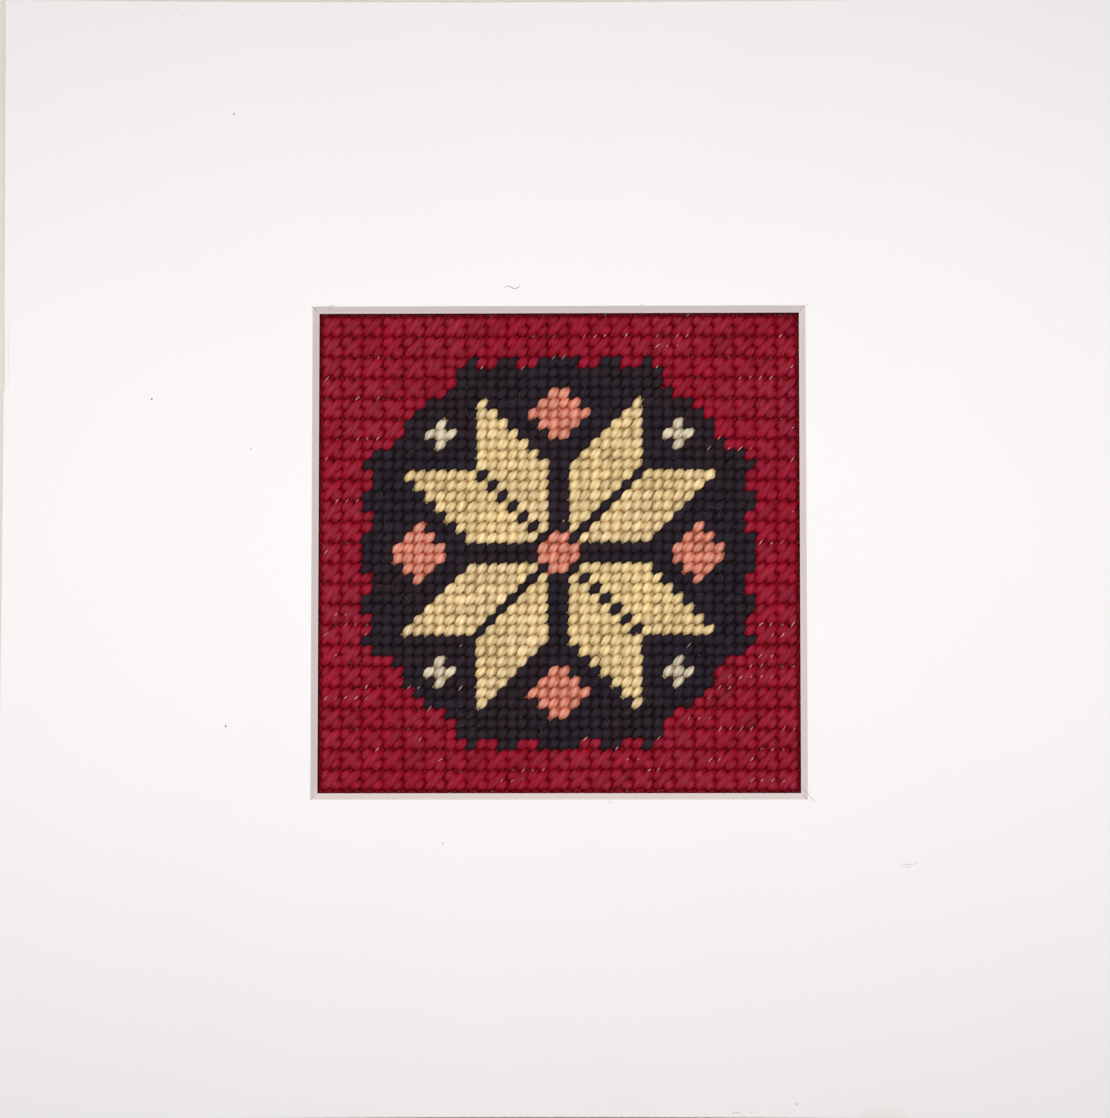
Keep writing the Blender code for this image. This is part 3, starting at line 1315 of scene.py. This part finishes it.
# Lint, scuffs and knife marks: half width in millimetres, then the points that they follow
LINT = (
    (0.050, ((-9.9, 48.35), (-9.3, 48.75), (-8.6, 48.45), (-8.1, 48.25), (-7.4, 48.5), (-7.1, 48.9))),
    (0.030, ((15.0, 45.3), (15.2, 45.15), (15.5, 45.3))),
    (0.030, ((9.0, -45.4), (9.3, -45.6), (9.5, -45.45))),
)
SCUFFS = (
    (0.040, ((61.3, -57.1), (62.3, -56.7), (63.4, -56.85), (64.8, -56.4))),
    (0.025, ((62.0, -57.3), (62.9, -57.2), (63.6, -57.25))),
    (0.050, ((43.75, -42.4), (45.0, -44.0), (45.8, -44.9), (46.6, -45.5))),
    (0.045, ((43.9, -44.1), (44.4, -44.5), (45.2, -45.35))),
    (0.035, ((45.05, 45.05), (45.4, 45.07), (45.7, 45.05))),
    (0.060, ((-45.3, 45.4), (-45.0, 45.05), (-44.4, 44.45), (-43.9, 43.95))),
    (0.045, ((-45.0, 44.85), (-43.4, 44.95), (-42.2, 45.0), (-41.3, 45.3))),
    (0.040, ((-42.2, 44.4), (-41.7, 44.9), (-41.2, 45.35))),
    (0.035, ((-45.4, -45.5), (-45.0, -45.05), (-44.4, -44.45), (-43.9, -43.95))),
    (0.030, ((45.05, 45.05), (44.45, 44.45), (43.95, 43.95))),
    (0.050, ((31.2, -101.2), (31.9, -101.15), (32.6, -101.25))),
    (0.040, ((34.3, -101.2), (34.6, -101.15), (34.9, -101.2))),
)


def board_top(mat, x, y):
    """Return the height of the board's surface, on its face or down its bevel."""
    down = max(brink_half(mat) - max(abs(x), abs(y)), 0.0) / mat.bevel_run
    return MAT_HIGH.z - min(down, 1.0) * (MAT_HIGH.z - MAT_LOW.z)


class NEEDLEPOINT_OT_mark_mat(bpy.types.Operator):
    """Add the specks, the lint and the fine knife marks on the mat's face"""

    bl_idname = "needlepoint.mark_mat"
    bl_label = "Mark Mat"

    def execute(self, context):
        look = {"tooth": 9000.0, "soil": 0.8, "bump": 0.3}
        dark = board_material("Dark lint", (0.16, 0.14, 0.14), (0.08, 0.07, 0.07), **look)
        pale = board_material("Pale scuff", (0.50, 0.47, 0.46), (0.38, 0.36, 0.35), **look)
        mat = context.scene.needlepoint_mat
        for name, marks, material in (("mat_lint", LINT, dark), ("mat_scuffs", SCUFFS, pale)):
            add_piece(name, self.line_mesh(name, marks, mat), [material], "window_mat")
        add_piece("mat_specks", self.speck_mesh(), [dark], "window_mat")
        return {"FINISHED"}

    def line_mesh(self, name, marks, mat):
        """Return fibres and fine cuts that lie on the face."""
        rings = 16
        over_board = 0.08 * MM
        lines = []
        for half_width, points in marks:
            line = smooth_line([(x * MM, y * MM, 0.0) for x, y in points], rings)
            line[:, 2] = [board_top(mat, x, y) + over_board for x, y, _ in line]
            lines.append(line)
        radius = [half_width * MM for half_width, _ in marks]
        return fibre_mesh(name, lines, radius, MAT_SIDE, sides=5)

    def speck_mesh(self):
        """Return small flattened, uneven crumbs on the face."""
        rng = np.random.default_rng(71)
        over_board = 0.06 * MM
        flatness = 0.35
        builder = bmesh.new()
        for x, y, half_width in SPECKS:
            crumb = bmesh.ops.create_icosphere(builder, subdivisions=2, radius=1.0)["verts"]
            turn = rng.uniform(0.0, math.pi)
            stretch = rng.uniform(0.6, 1.0)
            place = Vector((x * MM, y * MM, MAT_HIGH.z + over_board))
            for vert in crumb:
                lumpy = 1.0 + 0.25 * math.sin(5 * vert.co.x + turn) * math.cos(4 * vert.co.y)
                flat = Vector((vert.co.x, vert.co.y * stretch, vert.co.z * flatness))
                flat *= lumpy * half_width * MM
                flat.rotate(Matrix.Rotation(turn, 3, "Z"))
                vert.co = flat + place
        mesh = bpy.data.meshes.new("mat_specks")
        builder.to_mesh(mesh)
        builder.free()
        return mesh


class NEEDLEPOINT_OT_set_stage(bpy.types.Operator):
    """Set the table top, the camera and the soft lights"""

    bl_idname = "needlepoint.set_stage"
    bl_label = "Set Stage"

    def execute(self, context):
        stage = context.scene.needlepoint_stage
        self.lay_table(stage)
        self.place_camera(context, stage)
        self.hang_lights(context)
        context.scene.view_settings.view_transform = "Standard"
        return {"FINISHED"}

    def lay_table(self, stage):
        """Lay a pale table top under the panel."""
        side = 4.0
        bpy.ops.mesh.primitive_grid_add(x_subdivisions=8, y_subdivisions=8, size=side)
        table = bpy.context.object
        table.name = "table_top"
        dusty = tuple(channel * 0.95 for channel in stage.floor)
        material = board_material("Table top", stage.floor, dusty, tooth=900.0, soil=0.5, bump=0.2)
        table.data.materials.append(material)

    def place_camera(self, context, stage):
        """Hang the camera over the panel, leaning a little to the near and right sides."""
        aim = Vector((-0.69 * MM, -1.36 * MM, MAT_HIGH.z))
        facing = Matrix.Rotation(stage.turn, 4, "Y") @ Matrix.Rotation(stage.tilt, 4, "X")
        data = bpy.data.cameras.new("Camera")
        data.lens = stage.lens
        data.sensor_width = 36.0
        data.clip_start = 0.01
        camera = bpy.data.objects.new("Camera", data)
        context.scene.collection.objects.link(camera)
        camera.matrix_world = Matrix.Translation(aim) @ facing @ Matrix.Translation((0, 0, stage.distance))
        context.scene.camera = camera

    def hang_lights(self, context):
        """Hang a long soft lamp over the panel, with a window behind it and a white room round it."""
        # Name, place, aim, size, spread and power in watts
        lights = (
            ("Long lamp", (0.006, 0.0, 0.484), (0.006, 0.0, 0.0), (0.555, 0.14), math.radians(69), 0.370),
            ("Window", (-0.35, 0.75, 0.95), (0.0, 0.0, 0.0), (0.9, 0.9), math.pi, 3.2),
        )
        for name, place, aim, size, spread, power in lights:
            data = bpy.data.lights.new(name, "AREA")
            data.shape = "RECTANGLE"
            data.size, data.size_y = size
            data.spread = spread
            data.energy = power
            light = bpy.data.objects.new(name, data)
            context.scene.collection.objects.link(light)
            light.location = place
            light.rotation_euler = (Vector(aim) - Vector(place)).to_track_quat("-Z", "Y").to_euler()
            light.visible_camera = False
        world = bpy.data.worlds.new("Room")
        world.use_nodes = True
        background = world.node_tree.nodes["Background"]
        background.inputs["Color"].default_value = (1.0, 1.0, 1.0, 1.0)
        room_light = 0.345
        background.inputs["Strength"].default_value = room_light
        context.scene.world = world


# ---------------------------------------------------------------------------
# Sidebar, registration and run
# ---------------------------------------------------------------------------

STEPS = (
    NEEDLEPOINT_OT_weave_canvas,
    NEEDLEPOINT_OT_work_ground,
    NEEDLEPOINT_OT_work_medallion,
    NEEDLEPOINT_OT_show_canvas,
    NEEDLEPOINT_OT_raise_fuzz,
    NEEDLEPOINT_OT_turn_over,
    NEEDLEPOINT_OT_stretch_cloth,
    NEEDLEPOINT_OT_cut_mat,
    NEEDLEPOINT_OT_mark_mat,
    NEEDLEPOINT_OT_set_stage,
)

SETTINGS = (
    ("needlepoint_canvas", CanvasSettings),
    ("needlepoint_wool", WoolSettings),
    ("needlepoint_mat", MatSettings),
    ("needlepoint_stage", StageSettings),
)


class NEEDLEPOINT_PT_panel(bpy.types.Panel):
    """The steps of making the panel, with their sizes and colours"""

    bl_label = "Needlepoint Panel"
    bl_idname = "NEEDLEPOINT_PT_panel"
    bl_space_type = "VIEW_3D"
    bl_region_type = "UI"
    bl_category = "Needlepoint"

    def draw(self, context):
        for name, group in SETTINGS:
            box = self.layout.box()
            for setting in group.__annotations__:
                box.prop(getattr(context.scene, name), setting)
        for step in STEPS:
            self.layout.operator(step.bl_idname)


def register():
    for _, group in SETTINGS:
        bpy.utils.register_class(group)
    for step in STEPS:
        bpy.utils.register_class(step)
    bpy.utils.register_class(NEEDLEPOINT_PT_panel)
    for name, group in SETTINGS:
        setattr(bpy.types.Scene, name, PointerProperty(type=group))


def unregister():
    for name, _ in SETTINGS:
        delattr(bpy.types.Scene, name)
    bpy.utils.unregister_class(NEEDLEPOINT_PT_panel)
    for step in reversed(STEPS):
        bpy.utils.unregister_class(step)
    for _, group in reversed(SETTINGS):
        bpy.utils.unregister_class(group)


def main():
    """Make the whole panel."""
    register()
    bpy.ops.needlepoint.weave_canvas()
    bpy.ops.needlepoint.work_ground()
    bpy.ops.needlepoint.work_medallion()
    bpy.ops.needlepoint.show_canvas()
    bpy.ops.needlepoint.raise_fuzz()
    bpy.ops.needlepoint.turn_over()
    bpy.ops.needlepoint.stretch_cloth()
    bpy.ops.needlepoint.cut_mat()
    bpy.ops.needlepoint.mark_mat()
    bpy.ops.needlepoint.set_stage()


if __name__ == "__main__":
    main()
